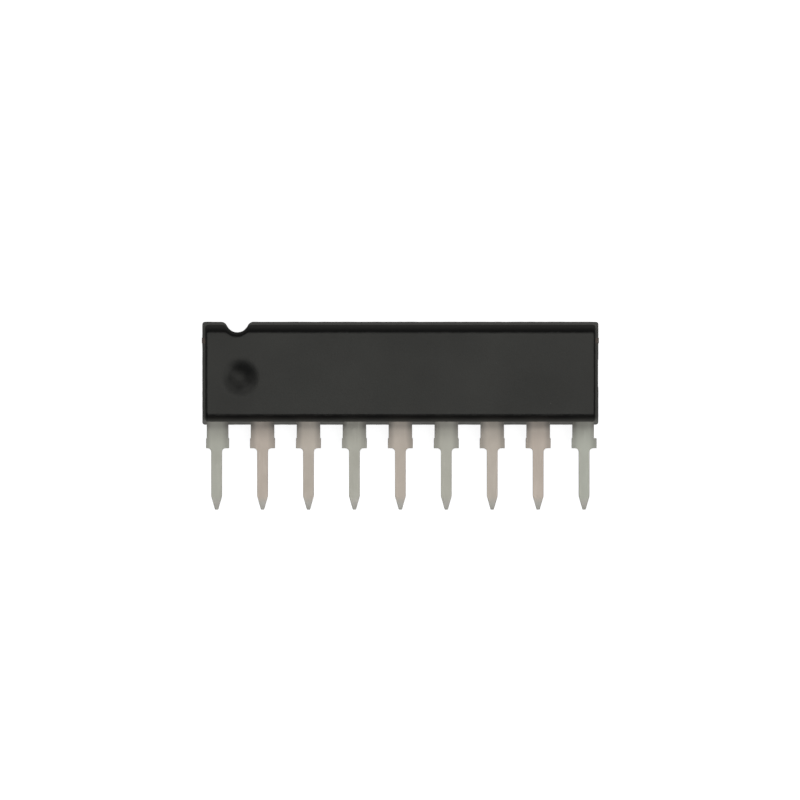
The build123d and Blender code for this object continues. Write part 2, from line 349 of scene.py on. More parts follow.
def rubbed_edge_group():
    """Edge attribute broken up by noise: where handling has polished or worn an edge."""
    inputs = {"Edge": 0.0, "Patch Size": 4e-4, "Amount": 0.5}
    tree, given, result = effect_group("rubbed_edge", inputs, {"Mask": "Float"})
    patches = texture(tree, "Noise", given["Vector"], given["Patch Size"], 5.0, 0.65)
    broken = fade(tree, patches, 0.38, 0.66)
    mask = calc(tree, "MULTIPLY", broken, given["Edge"])
    feed(result["Mask"], calc(tree, "MULTIPLY", mask, given["Amount"], clamp=True))
    return tree


def fine_scratches_group():
    """Thin broken lines, as rolling and sliding in a tube leave them. Stretch gives their run."""
    inputs = {"Line Width": 3e-5, "Stretch": ("Vector", (1.0, 0.03, 1.0)), "Amount": 0.5}
    outputs = {"Mask": "Float", "Height": "Float"}
    tree, given, result = effect_group("fine_scratches", inputs, outputs)
    stretched = {0: given["Vector"], 1: given["Stretch"]}
    along = add_node(tree, "VectorMath", stretched, operation="MULTIPLY")
    lines = texture(tree, "Noise", along, given["Line Width"], 2.0, 0.5)
    mask = fade(tree, lines, 0.6, 0.7)
    feed(result["Mask"], calc(tree, "MULTIPLY", mask, given["Amount"], clamp=True))
    feed(result["Height"], lines)
    return tree


def dust_specks_group():
    """Scattered specks, few and small."""
    inputs = {"Spacing": 6e-4, "Speck Share": 0.08}
    tree, given, result = effect_group("dust_specks", inputs, {"Mask": "Float"})
    cells = texture(tree, "Voronoi", given["Vector"], given["Spacing"])
    far = calc(tree, "DIVIDE", cells, given["Speck Share"])
    feed(result["Mask"], calc(tree, "SUBTRACT", 1.0, far, clamp=True))
    return tree


EFFECTS = {
    "grain": spark_grain_group(),
    "tone": patchy_tone_group(),
    "rubbed": rubbed_edge_group(),
    "scratches": fine_scratches_group(),
    "dust": dust_specks_group(),
}


def effect(tree, name, place, **values):
    """Outputs of one of the shared effects, placed in a material with its own values."""
    node = add_node(tree, "Group", node_tree=EFFECTS[name])
    feed_named(node, Vector=place, **values)
    return node.outputs


def tone(tree, place, patch_size, contrast, darker, lighter):
    """Outputs of the effect that changes slowly between two colours."""
    values = {"Patch_Size": patch_size, "Contrast": contrast, "Darker": darker, "Lighter": lighter}
    return effect(tree, "tone", place, **values)


def new_material(name, **constants):
    """A material with one Principled shader, whose constant values are set on its own sockets."""
    material = bpy.data.materials.new(name)
    material.use_nodes = True
    tree = material.node_tree
    shader = tree.nodes["Principled BSDF"]
    feed_named(shader, **constants)
    place = add_node(tree, "TexCoord").outputs["Object"]
    return material, tree, shader, place


def attribute(tree, name):
    return add_node(tree, "Attribute", attribute_name=name).outputs["Fac"]


def bump(tree, height, depth, strength=1.0):
    values = {"Height": height, "Distance": depth, "Strength": strength}
    return add_node(tree, "Bump", values)


# ---- Materials ----
def moulding_compound():
    """Black filled epoxy with spark-eroded grain, flow clouds and rubbed rims.

    Painted light makes it lighter towards the parting line, where its walls would mirror the bright
    floor, and lighter still on the lower ledge among the leads.
    """
    material, tree, shader, place = new_material(
        "moulding_compound", IOR=1.5, Specular_Tint=(1.0, 1.0, 0.93)
    )
    grain = effect(tree, "grain", place, Grain_Size=6e-5, Pit_Size=1.1e-4)
    clouds = tone(tree, place, 0.0035, 0.7, (0.0085, 0.0083, 0.0078), (0.0125, 0.0122, 0.0118))
    filler = tone(tree, place, 4e-5, 1.0, (0.007, 0.007, 0.0068), (0.017, 0.0168, 0.0165))
    edge = attribute(tree, "edge")
    rubbed = effect(tree, "rubbed", place, Edge=edge, Patch_Size=5e-4, Amount=0.6)["Mask"]
    scuffs = effect(tree, "scratches", place, Line_Width=4e-5, Stretch=(0.04, 1.0, 1.0), Amount=0.25)
    dust = effect(tree, "dust", place, Spacing=0.0011, Speck_Share=0.035)

    _, y, z = axes(tree, place)
    # Painted light: lighter towards the parting line, standing in for the bright floor that the walls
    # mirror.
    from_ledge = calc(tree, "SUBTRACT", z, (PARTING_Z - LEDGE_DROP) * MM)
    from_ledge = calc(tree, "ABSOLUTE", from_ledge)
    painted_floor_light = fade(tree, from_ledge, FLOOR_LIGHT_REACH * MM, 0.0)
    # Painted light: the ledge among the leads, on the lower side only, is made lighter still.
    among_leads = fade(tree, y, (BODY_LOW.y + LEDGE_LIGHT_START) * MM, (BODY_LOW.y + LEDGE_LIGHT_FULL) * MM)
    painted_ledge_light = calc(tree, "MULTIPLY", painted_floor_light, among_leads)
    below_face = calc(tree, "SUBTRACT", BODY_HIGH.z * MM, z)
    deep = DIMPLE_DEPTH * MM
    in_dimple = fade(tree, below_face, 0.1 * deep, 0.8 * deep)
    above_ledge = fade(tree, below_face, 2.5 * deep, 1.5 * deep)
    in_dimple = calc(tree, "MULTIPLY", in_dimple, above_ledge)
    normal = add_node(tree, "NewGeometry").outputs["Normal"]
    wall = fade(tree, axes(tree, normal)["Z"], 0.75, 0.45)

    # Colour of that painted floor light, a little lighter on steep walls.
    painted_wall_light = mix_colour(tree, wall, (0.06, 0.058, 0.054), (0.08, 0.078, 0.073))
    colour = mix_colour(tree, 0.35, clouds["Color"], filler["Color"])
    colour = mix_colour(tree, painted_floor_light, colour, painted_wall_light)
    colour = mix_colour(tree, painted_ledge_light, colour, (0.21, 0.205, 0.19))
    colour = mix_colour(tree, rubbed, colour, (0.06, 0.059, 0.056))
    colour = mix_colour(tree, dust["Mask"], colour, (0.09, 0.088, 0.084))
    roughness = mix_value(tree, clouds["Mask"], 0.36, 0.42)
    roughness = mix_value(tree, scuffs["Mask"], roughness, 0.36)
    roughness = mix_value(tree, rubbed, roughness, 0.34)
    roughness = mix_value(tree, wall, roughness, 0.7)
    shine = mix_value(tree, in_dimple, 0.5, 0.35)
    shine = mix_value(tree, wall, shine, 0.2)
    feed_named(shader, Base_Color=colour, Roughness=roughness, Specular_IOR_Level=shine)
    feed_named(shader, Normal=bump(tree, grain["Height"], 4e-6, 0.7))
    return material


def tin_plate():
    """Matte tin over copper: cloudy crystals and rolling lines, with painted shadow beside the
    moulding.
    """
    material, tree, shader, place = new_material("tin_plate", Metallic=1.0)
    crystals = effect(tree, "grain", place, Grain_Size=3e-5, Pit_Size=6e-5)
    clouds = tone(tree, place, 0.0012, 0.8, (0.6, 0.57, 0.495), (0.75, 0.715, 0.625))
    tint = mix_colour(tree, attribute(tree, "warmth"), (0.61, 0.66, 0.585), (0.85, 0.7, 0.61))
    rolling = effect(tree, "scratches", place, Line_Width=2e-5, Stretch=(1.0, 0.02, 1.0), Amount=0.6)
    edge = attribute(tree, "edge")
    rubbed = effect(tree, "rubbed", place, Edge=edge, Patch_Size=3e-4, Amount=0.5)

    x, y, _ = axes(tree, place)
    pitches = calc(tree, "DIVIDE", x, PITCH * MM)
    from_middle = calc(tree, "SUBTRACT", pitches, calc(tree, "ROUND", pitches))
    from_middle = calc(tree, "ABSOLUTE", from_middle)
    # Painted shade: each lead darker away from its centre line, towards its edges.
    painted_edge_shade = fade(tree, from_middle, EDGE_SHADE_START / PITCH, EDGE_SHADE_FULL / PITCH)
    # Painted shadow of the moulding: darker towards it, and darker still close under it.
    painted_body_shadow = fade(tree, y, (BODY_LOW.y - BODY_SHADOW_REACH) * MM, BODY_LOW.y * MM)
    painted_body_shadow = calc(tree, "MULTIPLY", painted_body_shadow, 0.35)
    painted_contact_shadow = fade(tree, y, (BODY_LOW.y - CONTACT_SHADOW_REACH) * MM, BODY_LOW.y * MM)
    painted_body_shadow = calc(tree, "ADD", painted_body_shadow, calc(tree, "MULTIPLY", painted_contact_shadow, 0.25))
    dimmed = calc(tree, "ADD", painted_body_shadow, calc(tree, "MULTIPLY", painted_edge_shade, 0.32), clamp=True)
    tip_y = MIDDLE_LEAD_LOW.y
    # Painted highlight: the bevelled tip lighter, as if catching the light.
    painted_tip_highlight = fade(tree, y, (tip_y + TIP_LENGTH) * MM, (tip_y + TIP_HIGHLIGHT_FULL) * MM)

    colour = mix_colour(tree, 0.5, clouds["Color"], tint)
    # Painted shade and shadow: the darkening towards the moulding and towards each lead's edges.
    colour = mix_colour(tree, dimmed, colour, (0.2, 0.19, 0.175))
    colour = mix_colour(tree, rubbed["Mask"], colour, (0.85, 0.79, 0.68))
    # Painted highlight on the tips.
    colour = mix_colour(tree, painted_tip_highlight, colour, (0.73, 0.705, 0.645))
    colour = mix_colour(tree, attribute(tree, "sheared"), colour, (0.5, 0.36, 0.27))
    roughness = mix_value(tree, clouds["Mask"], 0.5, 0.6)
    roughness = mix_value(tree, rolling["Mask"], roughness, 0.36)
    height = mix_value(tree, 0.4, crystals["Height"], rolling["Height"])
    relief = bump(tree, height, 1.5e-6)
    feed_named(shader, Base_Color=colour, Roughness=roughness, Normal=relief)
    return material


def frame_copper():
    """Copper alloy of the pad, silvered where the die sits and tarnished at the tie bars' ends."""
    material, tree, shader, place = new_material("frame_copper", Metallic=1.0)
    clouds = tone(tree, place, 8e-4, 0.8, (0.5, 0.24, 0.13), (0.72, 0.39, 0.24))
    rolling = effect(tree, "scratches", place, Line_Width=2e-5, Stretch=(0.02, 1.0, 1.0), Amount=0.6)
    grain = effect(tree, "grain", place, Grain_Size=3e-5, Pit_Size=6e-5)
    from_middle = calc(tree, "ABSOLUTE", axes(tree, place)["X"])
    plated = fade(tree, from_middle, PAD_LENGTH / 2 * MM, (PAD_LENGTH / 2 - PLATING_EDGE) * MM)
    colour = mix_colour(tree, plated, clouds["Color"], (0.74, 0.72, 0.68))
    tarnished = calc(tree, "GREATER_THAN", from_middle, (HALF_LENGTH - TARNISH_REACH) * MM)
    colour = mix_colour(tree, tarnished, colour, (0.09, 0.075, 0.065))
    roughness = mix_value(tree, rolling["Mask"], 0.38, 0.24)
    height = mix_value(tree, 0.5, grain["Height"], rolling["Height"])
    relief = bump(tree, height, 1.2e-6)
    feed_named(shader, Base_Color=colour, Roughness=roughness, Normal=relief)
    return material


def silver_adhesive():
    """Silver flakes in a grey resin."""
    material, tree, shader, place = new_material("silver_adhesive")
    flakes = tone(tree, place, 3e-5, 1.0, (0.3, 0.29, 0.27), (0.72, 0.71, 0.69))
    grain = effect(tree, "grain", place, Grain_Size=2e-5, Pit_Size=4e-5)
    metal = calc(tree, "MULTIPLY", flakes["Mask"], 0.85)
    roughness = mix_value(tree, flakes["Mask"], 0.6, 0.3)
    relief = bump(tree, grain["Height"], 4e-6)
    feed_named(shader, Base_Color=flakes["Color"], Metallic=metal)
    feed_named(shader, Roughness=roughness, Normal=relief)
    return material


def bricks(tree, place, width, row, gap, offset, colours):
    """Rows of blocks with gaps between them, in two colours and that of the gaps."""
    values = {"Scale": 1.0, "Brick Width": width, "Row Height": row, "Mortar Size": gap}
    values.update(zip(("Color1", "Color2", "Mortar"), colours), Vector=place)
    return add_node(tree, "TexBrick", values, offset=offset)


def silicon():
    """Polished grey silicon, with blocks of circuit under a thin green-gold film on its face."""
    material, tree, shader, place = new_material("silicon", Metallic=0.6, IOR=3.4)
    film = ((0.12, 0.17, 0.15), (0.3, 0.26, 0.17), (0.55, 0.52, 0.46))
    blocks = bricks(tree, place, 3.1e-4, 1.9e-4, 1.4e-5, 0.35, film)
    film = ((0.1, 0.12, 0.16), (0.24, 0.2, 0.14), (0.4, 0.38, 0.34))
    cells = bricks(tree, place, 6e-5, 2e-5, 3e-6, 0.5, film)
    z = axes(tree, place)["Z"]
    face = fade(tree, z, (DIE_HIGH.z - CIRCUIT_DEPTH) * MM, (DIE_HIGH.z - CIRCUIT_CLEAR) * MM)
    circuit = mix_colour(tree, 0.45, blocks, cells)
    colour = mix_colour(tree, face, (0.22, 0.225, 0.24), circuit)
    sawn = effect(tree, "scratches", place, Line_Width=1.2e-5, Stretch=(0.05, 0.05, 1.0), Amount=0.7)
    roughness = mix_value(tree, sawn["Mask"], 0.16, 0.34)
    feed_named(shader, Base_Color=colour, Roughness=roughness)
    return material


def gold():
    """Drawn gold wire, a bit cloudy."""
    material, tree, shader, place = new_material("gold", Metallic=1.0)
    clouds = tone(tree, place, 1.2e-4, 0.7, (0.78, 0.5, 0.17), (0.92, 0.66, 0.28))
    grain = effect(tree, "grain", place, Grain_Size=8e-6, Pit_Size=2e-5)
    roughness = mix_value(tree, clouds["Mask"], 0.18, 0.28)
    relief = bump(tree, grain["Height"], 4e-7)
    feed_named(shader, Base_Color=clouds["Color"], Roughness=roughness, Normal=relief)
    return material


# ---- Meshes ----
def new_piece(name, data):
    piece = bpy.data.objects.new(name, data)
    bpy.context.scene.collection.objects.link(piece)
    return piece


@contextmanager
def editing(mesh):
    """A working copy of a mesh, which is written back once the work is done."""
    work = bmesh.new()
    work.from_mesh(mesh)
    yield work
    work.to_mesh(mesh)
    work.free()


def add_modifier(piece, kind, **settings):
    modifier = piece.modifiers.new(kind.lower(), kind)
    for name, value in settings.items():
        setattr(modifier, name, value)
    return modifier


def apply_modifiers(piece):
    """Makes what the modifiers show the piece's own plain mesh."""
    graph = bpy.context.evaluated_depsgraph_get()
    mesh = bpy.data.meshes.new_from_object(
        piece.evaluated_get(graph), preserve_all_data_layers=True, depsgraph=graph
    )
    piece.modifiers.clear()
    piece.data = mesh


def outward(mesh, merge=0.0):
    """Merges doubled points, and turns every face of a closed mesh outwards."""
    with editing(mesh) as work:
        if merge:
            bmesh.ops.remove_doubles(work, verts=work.verts, dist=merge)
        bmesh.ops.recalc_face_normals(work, faces=work.faces)


def smooth(piece, sharp_angle):
    """Smooth shading that keeps flat faces flat and edges over an angle crisp."""
    with editing(piece.data) as work:
        for face in work.faces:
            face.smooth = True
        for edge in work.edges:
            edge.smooth = edge.calc_face_angle(pi) < radians(sharp_angle)
    add_modifier(piece, "WEIGHTED_NORMAL", keep_sharp=True, mode="FACE_AREA")
    apply_modifiers(piece)


def finish_piece(piece, material, slot, *nodes):
    """Brings a piece to metres, and hands it to the frame in place of its CAD nodes."""
    piece.data.transform(Matrix.Scale(MM, 4))
    piece.data.materials.clear()
    piece.data.materials.append(material)
    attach(piece, "root")
    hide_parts(*nodes)


def node_copy(node):
    """A merged copy of a CAD node's mesh, in millimetres."""
    mesh = frame["nodes"][node].data.copy()
    mesh.transform(Matrix.Scale(1 / MM, 4))
    outward(mesh, merge=1e-4)
    return new_piece(f"{node}_copy", mesh)


def cut_out(piece, cutters):
    """Cuts each cutter out of a piece, and removes it."""
    for cutter in cutters:
        add_modifier(piece, "BOOLEAN", operation="DIFFERENCE", solver="EXACT", object=cutter)
    apply_modifiers(piece)
    for cutter in cutters:
        bpy.data.objects.remove(cutter)


# ---- Moulded case ----
def arc(centre, radius, start, end, steps):
    """Points of an arc between two angles in degrees, both ends included."""
    turns = (radians(start + (end - start) * step / steps) for step in range(steps + 1))
    return [Vector((centre.x + radius * cos(a), centre.y + radius * sin(a))) for a in turns]


def case_outline(height, inset, edge_draft, ledge=0.0):
    """Outline of one half at a height from the parting plane, drawn in by an inset."""
    half_x = HALF_LENGTH - ledge - height * tan(radians(END_DRAFT)) - inset
    half_y = HALF_HEIGHT - ledge - height * tan(radians(edge_draft)) - inset
    corner = max(CORNER_RADIUS - inset, SMALLEST_CORNER)
    lip = NOTCH_LIP - inset
    notch_radius = NOTCH_RADIUS + height * tan(radians(NOTCH_DRAFT)) + inset
    if ledge:
        notch_radius += NOTCH_LEDGE
    notch = Vector((NOTCH_FROM_END - HALF_LENGTH, HALF_HEIGHT + NOTCH_RADIUS - NOTCH_DEPTH))
    lip_y = half_y - lip
    reach = sqrt((notch_radius + lip) ** 2 - (notch.y - lip_y) ** 2)
    slope = degrees(atan2(notch.y - lip_y, reach))

    def round_corner(x_side, y_side, start):
        middle = Vector((x_side * (half_x - corner), y_side * (half_y - corner)))
        return arc(middle, corner, start, start + 90, CORNER_STEPS)

    def round_lip(side, start, end):
        return arc(Vector((notch.x + side * reach, lip_y)), lip, start, end, NOTCH_LIP_STEPS)

    # Each curve, and the number of steps in the straight line to the next one.
    curves = [
        (round_corner(-1, -1, 180), LOWER_SIDE_STEPS),
        (round_corner(1, -1, 270), END_STEPS),
        (round_corner(1, 1, 0), UPPER_SIDE_STEPS),
        (round_lip(1, 90, 180 - slope), 1),
        (arc(notch, notch_radius, -slope, slope - 180, NOTCH_STEPS), 1),
        (round_lip(-1, slope, 90), NOTCH_SIDE_STEPS),
        (round_corner(-1, 1, 90), END_STEPS),
    ]
    points = []
    for index, (curve, steps) in enumerate(curves):
        following = curves[(index + 1) % len(curves)][0][0]
        points += curve if steps > 1 else curve[:-1]
        points += [curve[-1].lerp(following, step / steps) for step in range(1, steps)]
    return [point + BODY_MIDDLE.xy for point in points]


def half_levels(depth, foot, inset):
    """Height, inset and worn share of each outline of one half, from its foot to its face."""
    heights = [foot] + [share * depth for share in WALL_RINGS]
    heights.append(depth - RIM_RADIUS - RIM_MARGIN)
    levels = [(height, inset, 0.0) for height in heights]
    for step in range(RIM_STEPS + 1):
        turn = pi / 2 * step / RIM_STEPS
        height = depth - RIM_RADIUS * (1 - sin(turn))
        wear = RIM_WEAR * sin(2 * turn)
        levels.append((height, inset + RIM_RADIUS * (1 - cos(turn)), wear))
    levels.append((depth, inset + RIM_RADIUS + RIM_MARGIN, 0.0))
    return levels


def flash_outline(drop):
    """Ragged outline of the fin of resin, at a height below the parting plane."""
    outer = case_outline(drop, 0.0, REAR_EDGE_DRAFT)
    inner = case_outline(drop, FLASH_REACH, REAR_EDGE_DRAFT)
    points = []
    for whole, broken in zip(outer, inner):
        tear = noise.noise((whole.x * FLASH_TEARS, whole.y * FLASH_TEARS, 0.5))
        points.append(whole.lerp(broken, min(max(0.5 + 0.7 * tear, 0.0), 1.0)))
    return points


def add_ring(work, worn, points, z, wear):
    """A closed ring of vertices at one height, each with its worn share."""
    ring = [work.verts.new((point.x, point.y, z)) for point in points]
    for vertex in ring:
        vertex[worn] = wear
    return ring


def bridge(work, lower, upper):
    """Band of faces between two rings of as many points."""
    count = len(lower)
    for index in range(count):
        following = (index + 1) % count
        work.faces.new((lower[index], lower[following], upper[following], upper[index]))


def ring_edges(work, ring):
    return [work.edges.get((ring[i - 1], ring[i])) for i in range(len(ring))]


def hollow(work, worn, centre, profile, steps=72):
    """Round recess from a profile of radius, height and worn share, closed at its last ring."""
    rings = []
    for radius, z, wear in profile:
        points = arc(centre, radius, 0, 360 - 360 / steps, steps - 1)
        rings.append(add_ring(work, worn, points, z, wear))
    for outer, inner in zip(rings, rings[1:]):
        bridge(work, outer, inner)
    work.faces.new(rings[-1])
    return rings[0]


def dimple_profile():
    """Cap of a large ball with a softened lip, from the flat round it to the middle."""
    ball = (DIMPLE_RADIUS**2 + DIMPLE_DEPTH**2) / (2 * DIMPLE_DEPTH)
    face_z = BODY_HIGH.z
    rise = ball - DIMPLE_DEPTH + DIMPLE_LIP
    reach = sqrt((ball + DIMPLE_LIP) ** 2 - rise**2)
    lip_turn = atan2(reach, rise)
    profile = [(reach + DIMPLE_MARGIN, face_z, 0.0)]
    for step in range(DIMPLE_LIP_STEPS + 1):
        turn = lip_turn * step / DIMPLE_LIP_STEPS
        radius = reach - DIMPLE_LIP * sin(turn)
        profile.append((radius, face_z - DIMPLE_LIP * (1 - cos(turn)), 0.0))
    edge = ball * sin(lip_turn)
    for share in DIMPLE_RINGS:
        radius = edge * share
        profile.append((radius, face_z + ball - DIMPLE_DEPTH - sqrt(ball**2 - radius**2), 0.0))
    return profile


def ejector_profile():
    """Flat-floored mark of an ejector pin in the rear face."""
    rear_z, lip = BODY_LOW.z, EJECTOR_LIP
    profile = [(EJECTOR_RADIUS + EJECTOR_MARGIN, rear_z, 0.0)]
    for turn in (0.0, pi / 6, pi / 3, pi / 2):
        radius = EJECTOR_RADIUS + lip - lip * sin(turn)
        profile.append((radius, rear_z + lip * (1 - cos(turn)), 0.4))
    profile.append((EJECTOR_RADIUS, rear_z + EJECTOR_DEPTH - lip, 0.0))
    profile.append((EJECTOR_RADIUS - lip, rear_z + EJECTOR_DEPTH, 0.0))
    return profile


def case_shell():
    """Outer skin of the moulding: rings from the rear face to the front face, and both faces."""
    mesh = bpy.data.meshes.new("moulded_case")
    with editing(mesh) as work:
        worn = work.verts.layers.float.new("edge")
        rings = []
        for height, inset, wear in reversed(half_levels(REAR_DEPTH, FLASH_HEIGHT, FLASH_REACH)):
            points = case_outline(height, inset, REAR_EDGE_DRAFT)
            rings.append(add_ring(work, worn, points, PARTING_Z - height, wear))
        seam_z = PARTING_Z - LEDGE_DROP
        for drop in (FLASH_HEIGHT - FLASH_EDGE, 0.0):
            rings.append(add_ring(work, worn, flash_outline(drop), seam_z - drop, 1.0))
        for height, inset, wear in half_levels(FRONT_DEPTH, -LEDGE_DROP, 0.0):
            points = case_outline(height, inset, FRONT_EDGE_DRAFT, LEDGE)
            rings.append(add_ring(work, worn, points, PARTING_Z + height, wear))
        for lower, upper in zip(rings, rings[1:]):
            bridge(work, lower, upper)

        dimple = Vector((BODY_LOW.x + DIMPLE_FROM_END, BODY_HIGH.y - DIMPLE_FROM_TOP))
        front_holes = [hollow(work, worn, dimple, dimple_profile())]
        rear_holes = []
        for x in (BODY_LOW.x + EJECTOR_FROM_END, BODY_HIGH.x - EJECTOR_FROM_END):
            mark = Vector((x, BODY_MIDDLE.y))
            rear_holes.append(hollow(work, worn, mark, ejector_profile()))
        for outline, holes in ((rings[-1], front_holes), (rings[0], rear_holes)):
            edges = ring_edges(work, outline)
            for hole in holes:
                edges += ring_edges(work, hole)
            bmesh.ops.triangle_fill(work, use_beauty=True, use_dissolve=False, edges=edges)
        bmesh.ops.recalc_face_normals(work, faces=work.faces)
    return mesh


def gate_break():
    """Cutter with a rough inner face, for the break where the resin runner came off."""
    rng = random.Random(GATE_SEED)
    mesh = bpy.data.meshes.new("gate_break")
    with editing(mesh) as work:
        bmesh.ops.create_grid(work, x_segments=26, y_segments=8, size=0.5)
        for vertex in work.verts:
            across, up = vertex.co.x, vertex.co.y
            rim = max(abs(across), abs(up)) > 0.49
            depth = 0.4 * GATE_DEPTH if rim else GATE_DEPTH * rng.uniform(0.45, 1.0)
            vertex.co = Vector((BODY_HIGH.x - depth, across * GATE_WIDTH, up * GATE_HEIGHT))
        grown = bmesh.ops.extrude_face_region(work, geom=work.faces[:])
        for item in grown["geom"]:
            if isinstance(item, bmesh.types.BMVert):
                item.co.x = BODY_HIGH.x + 0.2
        bmesh.ops.recalc_face_normals(work, faces=work.faces)
        to_gate = (0.0, BODY_MIDDLE.y, PARTING_Z - GATE_HEIGHT / 2)
        bmesh.ops.translate(work, verts=work.verts, vec=to_gate)
    return new_piece("gate_break", mesh)


def moulded_case(material):
    case = new_piece("moulded_case", case_shell())
    inside = [name for name in sorted(frame["nodes"]) if name != "epoxy_body"]
    cut_out(case, [gate_break()] + [node_copy(name) for name in inside])
    smooth(case, 34)
    finish_piece(case, material, "moulding_compound", "epoxy_body")


# ---- Geometry trees ----
def geometry_tree(name, source, inputs, work):
    """A tree that turns a line into a solid of one material. work makes the solid's geometry."""
    inputs = {source: ("Geometry", None), **inputs, "Finish": ("Material", None)}
    tree, given, result = new_tree(name, "GeometryNodeTree", inputs, {"Geometry": "Geometry"})
    real = geo(tree, "RealizeInstances", {"Geometry": work(tree, given)})
    finished = geo(tree, "SetMaterial", {"Geometry": real, "Material": given["Finish"]})
    feed(result["Geometry"], finished)
    return tree


def geo(tree, kind, inputs=None, **settings):
    return add_node(tree, kind, inputs, "GeometryNode", **settings)


def rounded_curve(tree, line, count, limit):
    """Curve along a line, with each corner rounded by the radius that the line carries."""
    curve = geo(tree, "MeshToCurve", {"Mesh": line})
    radius = geo(tree, "InputNamedAttribute", {"Name": "corner_radius"}, data_type="FLOAT")
    values = {"Curve": curve, "Count": count, "Radius": radius, "Limit Radius": limit}
    return geo(tree, "FilletCurve", values, mode="POLY")


def circle(tree, steps, radius):
    return geo(tree, "CurvePrimitiveCircle", {"Resolution": steps, "Radius": radius}, mode="RADIUS")


def run_tree(piece, tree, **values):
    """Runs a geometry tree on a piece and keeps what it makes as a plain mesh."""
    modifier = add_modifier(piece, "NODES", node_group=tree)
    for item in tree.interface.items_tree:
        value = values.get(item.name.replace(" ", "_"))
        if value is not None:
            modifier[item.identifier] = value
    apply_modifiers(piece)
    outward(piece.data)


def outline_piece(name, rounded_points, closed):
    """Line through points, with the rounding of each corner as an attribute."""
    points, radii = zip(*rounded_points)
    mesh = bpy.data.meshes.new(name)
    count = len(points)
    edges = [(i, (i + 1) % count) for i in range(count if closed else count - 1)]
    mesh.from_pydata([point.to_3d() for point in points], edges, [])
    mesh.attributes.new("corner_radius", "FLOAT", "POINT").data.foreach_set("value", radii)
    return new_piece(name, mesh)


# ---- Leads ----
def stamped_sheet(tree, given):
    """Sheet of the thickness given, filled inside an outline and round a hole."""
    outline = rounded_curve(tree, given["Outline"], given["Curve Steps"], False)
    edge_of_hole = circle(tree, LOCK_HOLE_STEPS, given["Hole Radius"])
    hole = geo(tree, "Transform", {"Geometry": edge_of_hole, "Translation": given["Hole Centre"]})
    outlines = geo(tree, "JoinGeometry", {"Geometry": [outline, hole]})
    filled = geo(tree, "FillCurve", {"Curve": outlines}, mode="NGONS")
    raise_by = {"Mesh": filled, "Offset Scale": given["Thickness"], "Individual": False}
    raised = geo(tree, "ExtrudeMesh", raise_by, mode="FACES")
    rear = geo(tree, "FlipFaces", {"Mesh": filled})
    closed = geo(tree, "JoinGeometry", {"Geometry": [raised, rear]})
    merged = geo(tree, "MergeByDistance", {"Geometry": closed, "Distance": 5e-4})
    lift = add_node(tree, "CombineXYZ", {"Z": given["Rear Height"]})
    return geo(tree, "Transform", {"Geometry": merged, "Translation": lift})


def stamped_sheet_tree():
    inputs = {
        "Thickness": SHEET,
        "Rear Height": SHEET_REAR_Z,
        "Hole Radius": LOCK_HOLE_RADIUS,
        "Hole Centre": ("Vector", None),
        "Curve Steps": ("Int", CURVE_STEPS),
    }
    return geometry_tree("stamped_sheet", "Outline", inputs, stamped_sheet)


def finger_route(number):
    """Centre line of the inner finger: straight, slanting, or square round to the pad's side."""
    side, steps = side_and_steps(number)
    x = lead_x(number)
    foot = Vector((x, BODY_LOW.y + ANCHOR_HEIGHT))
    if steps == 0:
        return [foot, Vector((x, PAD_BOTTOM_Y - FINGER_GAP))]
    if steps == 1:
        knee = Vector((x, foot.y + SLANTING_KNEE))
        return [foot, knee, Vector((side * SLANTING_TIP_X, PAD_BOTTOM_Y - SLANTING_GAP))]
    row_y = PAD_BOTTOM_Y + FIRST_ROW + (steps - 2) * ROW_STEP
    return [foot, Vector((x, row_y)), Vector((side * (PAD_LENGTH / 2 + FINGER_GAP), row_y))]


def finger_edge(route, side):
    """Corners of one edge of the finger, each with its rounding. side is 1 on the right."""
    half = FINGER_WIDTH / 2
    first = (route[1] - route[0]).normalized()
    last = (route[-1] - route[-2]).normalized()
    right_first = Vector((first.y, -first.x)) * side * half
    right_last = Vector((last.y, -last.x)) * side * half
    edge = [(route[0] + right_first, 0.0)]
    if len(route) > 2:
        mitre = (right_first + right_last).normalized()
        mitre *= half / mitre.dot(right_first.normalized())
        turns_right = first.x * last.y - first.y * last.x < 0
        inner = turns_right == (side > 0)
        edge.append((route[1] + mitre, FINGER_BEND + (-half if inner else half)))
    return edge + [(route[-1] + right_last, 0.0)]


def lead_side(number, side):
    """Corners of one side of a lead, from its tip to its anchor. side is 1 on the right."""
    outermost = number == (LEAD_COUNT if side > 0 else 1)
    tip_y, body_y = corners(f"lead_{number}")[0].y, BODY_LOW.y
    half = SHOULDER_WIDTH / 2 - (OUTER_TRIM if outermost else 0.0)
    stub = half + (LAST_DAM_STUB if outermost and side > 0 else DAM_STUB)
    line = [
        (TIP_WIDTH / 2, tip_y, TIP_RADIUS),
        (PIN_WIDTH / 2, tip_y + TIP_LENGTH, TAPER_RADIUS),
        (PIN_WIDTH / 2, SEATING_Y, ROOT_RADIUS),
        (stub, SEATING_Y, 0.0),
        (stub, SEATING_Y + DAM_STUB_LENGTH, 0.0),
        (half, SEATING_Y + DAM_STUB_LENGTH, 0.0),
        (half, body_y + SHOULDER_ROOT, 0.0),
        (ANCHOR_WIDTH / 2, body_y + SHOULDER_ROOT, 0.0),
        (ANCHOR_WIDTH / 2, body_y + ANCHOR_HEIGHT, 0.0),
    ]
    x = lead_x(number)
    return [(Vector((x + side * from_middle, y)), radius) for from_middle, y, radius in line]


def lead_outline(number):
    """Corners of a whole lead with their roundings: pin, shoulder, anchor and finger."""
    route = finger_route(number)
    right, left = (lead_side(number, side) + finger_edge(route, side) for side in (1, -1))
    return right + left[::-1]


